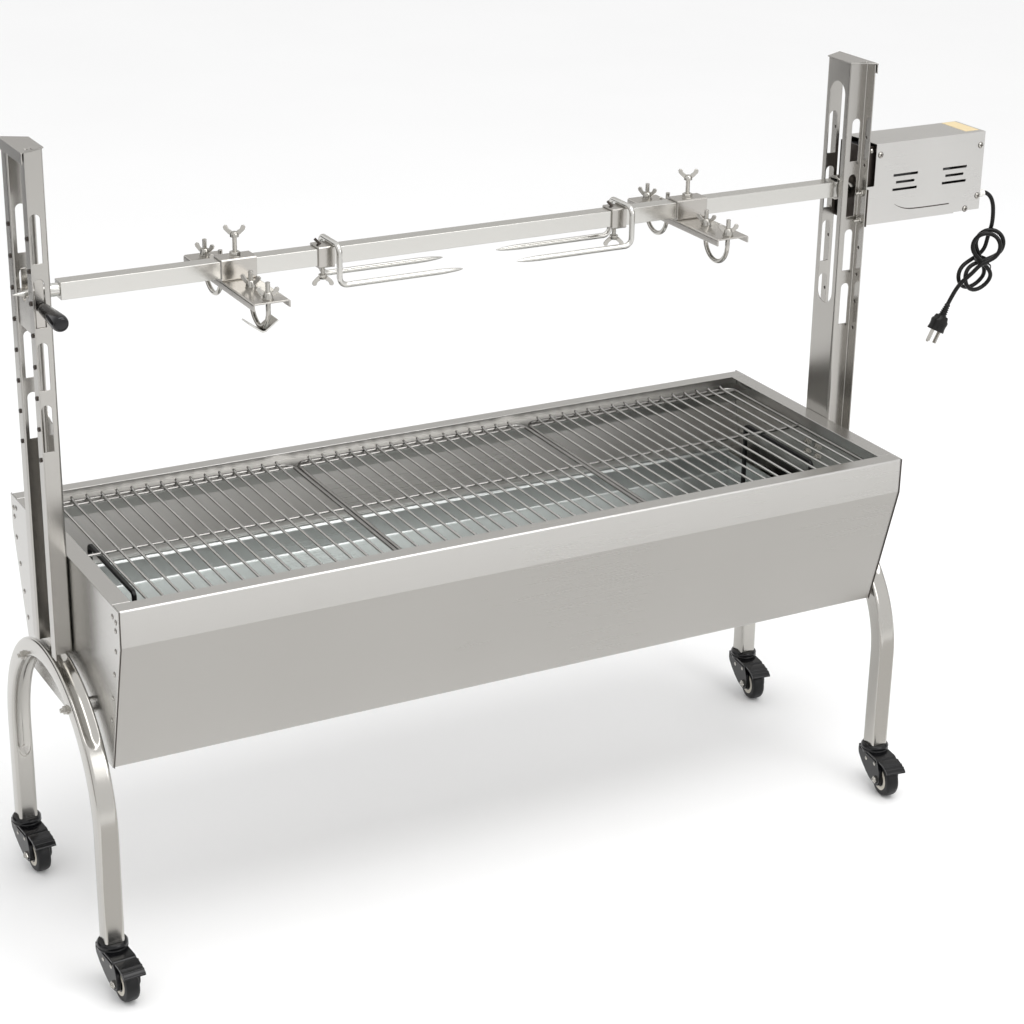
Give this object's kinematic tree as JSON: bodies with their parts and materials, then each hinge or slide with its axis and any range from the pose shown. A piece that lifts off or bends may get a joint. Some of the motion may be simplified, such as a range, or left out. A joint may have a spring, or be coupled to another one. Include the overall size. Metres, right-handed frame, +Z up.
{
  "type": "rotisserie spit roaster",
  "caption": "Charcoal rotisserie: open steel firebox with grates and tray on bent-tube legs with casters, slotted posts, and a motor-driven square spit with forks and leg clamps.",
  "frame": {"origin": "on the floor under the middle of the machine's plan box, cord left out", "axes": "+X along the spit towards the motor, +Y from front to back, +Z up"},
  "size_m": [1.428, 0.4404, 1.0109],
  "materials": {
    "box_sheet": "satin stainless sheet",
    "post_sheet": "satin stainless sheet, slightly darker",
    "leg_tube": "satin square tube",
    "tray_sheet": "dull rolled sheet",
    "handle_enamel": "black enamel",
    "grate_wire": "chromed wire",
    "spit_bar": "polished square bar",
    "fittings": "bright forgings and welded fittings",
    "motor_bracket": "dark bracket",
    "motor_body": "grey cast body",
    "knob_grip": "glossy black moulding",
    "gland": "white nylon",
    "cord_jacket": "black cord jacket",
    "plug_body": "moulded black plug with bright pins",
    "caster_housing": "black moulding",
    "brake_pedal": "black moulding",
    "caster_tyre": "black tyre"
  },
  "bodies": {
    "root": {"firebox_shell": "box_sheet", "end_panel_left": "box_sheet", "end_panel_right": "box_sheet", "post_left": "post_sheet", "post_right": "post_sheet", "post_cap_left": "post_sheet", "post_cap_right": "post_sheet", "leg_arch_left": "leg_tube", "leg_arch_right": "leg_tube"},
    "tray": {"charcoal_tray": "tray_sheet", "tray_handle_left": "handle_enamel", "tray_handle_right": "handle_enamel"},
    "motor_carriage": {"motor_base": "motor_bracket", "motor_cover": "box_sheet", "gear_motor": "motor_body", "cord_gland": "gland", "cord_lead": "cord_jacket", "cord_hank": "cord_jacket", "cord_tail": "cord_jacket", "plug": "plug_body"},
    "rest_carriage": {"spit_rest": "fittings"},
    "spit": {"drive_socket": "fittings", "spit_rod": "spit_bar"},
    "fork_left": {"fork_left": "fittings"},
    "fork_right": {"fork_right": "fittings"},
    "leg_clamp_left": {"leg_clamp_left": "fittings", "u_bolt_front_left": "fittings", "u_bolt_back_left": "fittings", "saddle_left": "fittings"},
    "leg_clamp_right": {"leg_clamp_right": "fittings", "u_bolt_front_right": "fittings", "u_bolt_back_right": "fittings"},
    "grate_left": {"grate_left": "grate_wire"},
    "grate_middle": {"grate_middle": "grate_wire"},
    "grate_right": {"grate_right": "grate_wire"},
    "swivel_front_left": {"caster_housing_front_left": "caster_housing"},
    "wheel_front_left": {"caster_wheel_front_left": "caster_tyre"},
    "pedal_front_left": {"brake_pedal_front_left": "brake_pedal"},
    "swivel_back_left": {"caster_housing_back_left": "caster_housing"},
    "wheel_back_left": {"caster_wheel_back_left": "caster_tyre"},
    "pedal_back_left": {"brake_pedal_back_left": "brake_pedal"},
    "swivel_front_right": {"caster_housing_front_right": "caster_housing"},
    "wheel_front_right": {"caster_wheel_front_right": "caster_tyre"},
    "pedal_front_right": {"brake_pedal_front_right": "brake_pedal"},
    "swivel_back_right": {"caster_housing_back_right": "caster_housing"},
    "wheel_back_right": {"caster_wheel_back_right": "caster_tyre"},
    "pedal_back_right": {"brake_pedal_back_right": "brake_pedal"},
    "rest_knob": {"rest_knob": "knob_grip"},
    "fork_screw_left": {"fork_screw_left": "fittings"},
    "fork_screw_right": {"fork_screw_right": "fittings"},
    "clamp_bolt_left": {"clamp_bolt_left": "fittings"},
    "clamp_bolt_right": {"clamp_bolt_right": "fittings"},
    "wing_nut_front_left_a": {"wing_nut_front_left_a": "fittings"},
    "wing_nut_front_left_b": {"wing_nut_front_left_b": "fittings"},
    "wing_nut_back_left_a": {"wing_nut_back_left_a": "fittings"},
    "wing_nut_back_left_b": {"wing_nut_back_left_b": "fittings"},
    "wing_nut_front_right_a": {"wing_nut_front_right_a": "fittings"},
    "wing_nut_front_right_b": {"wing_nut_front_right_b": "fittings"},
    "wing_nut_back_right_a": {"wing_nut_back_right_a": "fittings"},
    "wing_nut_back_right_b": {"wing_nut_back_right_b": "fittings"}
  },
  "joints": [
    {"name": "motor_height", "type": "slide", "parent": "root", "child": "motor_carriage", "axis": [0, 0, 1], "range_m": [-0.0762, 0.0762]},
    {"name": "rest_height", "type": "slide", "parent": "root", "child": "rest_carriage", "axis": [0, 0, 1], "range_m": [-0.0762, 0.0762]},
    {"name": "spit_turn", "type": "hinge", "parent": "motor_carriage", "child": "spit", "pos_m": [-0.10553, 0.01818, 0.8356], "axis": [1, 0, 0], "continuous": true},
    {"name": "fork_left_slide", "type": "slide", "parent": "spit", "child": "fork_left", "axis": [1, 0, 0], "range_m": [-0.04, 0.03]},
    {"name": "fork_right_slide", "type": "slide", "parent": "spit", "child": "fork_right", "axis": [1, 0, 0], "range_m": [-0.03, 0.04]},
    {"name": "leg_clamp_left_slide", "type": "slide", "parent": "spit", "child": "leg_clamp_left", "axis": [1, 0, 0], "range_m": [-0.15, 0.03]},
    {"name": "leg_clamp_right_slide", "type": "slide", "parent": "spit", "child": "leg_clamp_right", "axis": [1, 0, 0], "range_m": [-0.03, 0.15]},
    {"name": "grate_left_lift", "type": "slide", "parent": "root", "child": "grate_left", "axis": [0, 0, 1], "range_m": [0, 0.15]},
    {"name": "grate_middle_lift", "type": "slide", "parent": "root", "child": "grate_middle", "axis": [0, 0, 1], "range_m": [0, 0.15]},
    {"name": "grate_right_lift", "type": "slide", "parent": "root", "child": "grate_right", "axis": [0, 0, 1], "range_m": [0, 0.15]},
    {"name": "tray_lift", "type": "slide", "parent": "root", "child": "tray", "axis": [0, 0, 1], "range_m": [0, 0.015]},
    {"name": "caster_swivel_front_left", "type": "hinge", "parent": "root", "child": "swivel_front_left", "pos_m": [-0.67503, -0.15182, 0], "axis": [0, 0, 1], "continuous": true},
    {"name": "caster_swivel_back_left", "type": "hinge", "parent": "root", "child": "swivel_back_left", "pos_m": [-0.67503, 0.18818, 0], "axis": [0, 0, 1], "continuous": true},
    {"name": "caster_swivel_front_right", "type": "hinge", "parent": "root", "child": "swivel_front_right", "pos_m": [0.46397, -0.15182, 0], "axis": [0, 0, 1], "continuous": true},
    {"name": "caster_swivel_back_right", "type": "hinge", "parent": "root", "child": "swivel_back_right", "pos_m": [0.46397, 0.18818, 0], "axis": [0, 0, 1], "continuous": true},
    {"name": "caster_roll_front_left", "type": "hinge", "parent": "swivel_front_left", "child": "wheel_front_left", "pos_m": [-0.67248, -0.18823, 0.025], "axis": [0.9976, 0.0698, 0], "continuous": true},
    {"name": "caster_roll_back_left", "type": "hinge", "parent": "swivel_back_left", "child": "wheel_back_left", "pos_m": [-0.67248, 0.15177, 0.025], "axis": [0.9976, 0.0698, 0], "continuous": true},
    {"name": "caster_roll_front_right", "type": "hinge", "parent": "swivel_front_right", "child": "wheel_front_right", "pos_m": [0.45889, -0.18796, 0.025], "axis": [0.9903, -0.1392, 0], "continuous": true},
    {"name": "caster_roll_back_right", "type": "hinge", "parent": "swivel_back_right", "child": "wheel_back_right", "pos_m": [0.45889, 0.15204, 0.025], "axis": [0.9903, -0.1392, 0], "continuous": true},
    {"name": "brake_tip_front_left", "type": "hinge", "parent": "swivel_front_left", "child": "pedal_front_left", "pos_m": [-0.67234, -0.19023, 0.0545], "axis": [-0.9976, -0.0698, 0], "range_deg": [0, 18]},
    {"name": "brake_tip_back_left", "type": "hinge", "parent": "swivel_back_left", "child": "pedal_back_left", "pos_m": [-0.67234, 0.14977, 0.0545], "axis": [-0.9976, -0.0698, 0], "range_deg": [0, 18]},
    {"name": "brake_tip_front_right", "type": "hinge", "parent": "swivel_front_right", "child": "pedal_front_right", "pos_m": [0.45861, -0.18995, 0.0545], "axis": [-0.9903, 0.1392, 0], "range_deg": [0, 18]},
    {"name": "brake_tip_back_right", "type": "hinge", "parent": "swivel_back_right", "child": "pedal_back_right", "pos_m": [0.45861, 0.15005, 0.0545], "axis": [-0.9903, 0.1392, 0], "range_deg": [0, 18]},
    {"name": "rest_knob_turn", "type": "hinge", "parent": "rest_carriage", "child": "rest_knob", "pos_m": [-0.66953, -0.01332, 0.8246], "axis": [0, -1, 0], "continuous": true},
    {"name": "fork_screw_left_turn", "type": "hinge", "parent": "fork_left", "child": "fork_screw_left", "pos_m": [-0.30753, 0.01818, 0.8247], "axis": [0, 0, 1], "continuous": true},
    {"name": "fork_screw_right_turn", "type": "hinge", "parent": "fork_right", "child": "fork_screw_right", "pos_m": [0.10487, 0.01818, 0.8247], "axis": [0, 0, 1], "continuous": true},
    {"name": "clamp_bolt_left_turn", "type": "hinge", "parent": "leg_clamp_left", "child": "clamp_bolt_left", "pos_m": [-0.42153, 0.01818, 0.8465], "axis": [0, 0, 1], "continuous": true},
    {"name": "clamp_bolt_right_turn", "type": "hinge", "parent": "leg_clamp_right", "child": "clamp_bolt_right", "pos_m": [0.21547, 0.01818, 0.8465], "axis": [0, 0, 1], "continuous": true},
    {"name": "wing_nut_front_left_a_turn", "type": "hinge", "parent": "leg_clamp_left", "child": "wing_nut_front_left_a", "pos_m": [-0.42153, -0.08182, 0.8229], "axis": [0, 0, 1], "continuous": true},
    {"name": "wing_nut_front_left_b_turn", "type": "hinge", "parent": "leg_clamp_left", "child": "wing_nut_front_left_b", "pos_m": [-0.42153, -0.02982, 0.8229], "axis": [0, 0, 1], "continuous": true},
    {"name": "wing_nut_back_left_a_turn", "type": "hinge", "parent": "leg_clamp_left", "child": "wing_nut_back_left_a", "pos_m": [-0.42153, 0.06618, 0.8229], "axis": [0, 0, 1], "continuous": true},
    {"name": "wing_nut_back_left_b_turn", "type": "hinge", "parent": "leg_clamp_left", "child": "wing_nut_back_left_b", "pos_m": [-0.42153, 0.11818, 0.8229], "axis": [0, 0, 1], "continuous": true},
    {"name": "wing_nut_front_right_a_turn", "type": "hinge", "parent": "leg_clamp_right", "child": "wing_nut_front_right_a", "pos_m": [0.21547, -0.08182, 0.8229], "axis": [0, 0, 1], "continuous": true},
    {"name": "wing_nut_front_right_b_turn", "type": "hinge", "parent": "leg_clamp_right", "child": "wing_nut_front_right_b", "pos_m": [0.21547, -0.02982, 0.8229], "axis": [0, 0, 1], "continuous": true},
    {"name": "wing_nut_back_right_a_turn", "type": "hinge", "parent": "leg_clamp_right", "child": "wing_nut_back_right_a", "pos_m": [0.21547, 0.06618, 0.8229], "axis": [0, 0, 1], "continuous": true},
    {"name": "wing_nut_back_right_b_turn", "type": "hinge", "parent": "leg_clamp_right", "child": "wing_nut_back_right_b", "pos_m": [0.21547, 0.11818, 0.8229], "axis": [0, 0, 1], "continuous": true}
  ],
  "couplings": [
    {"joint": "rest_height", "follows": "motor_height", "ratio": 1}
  ]
}
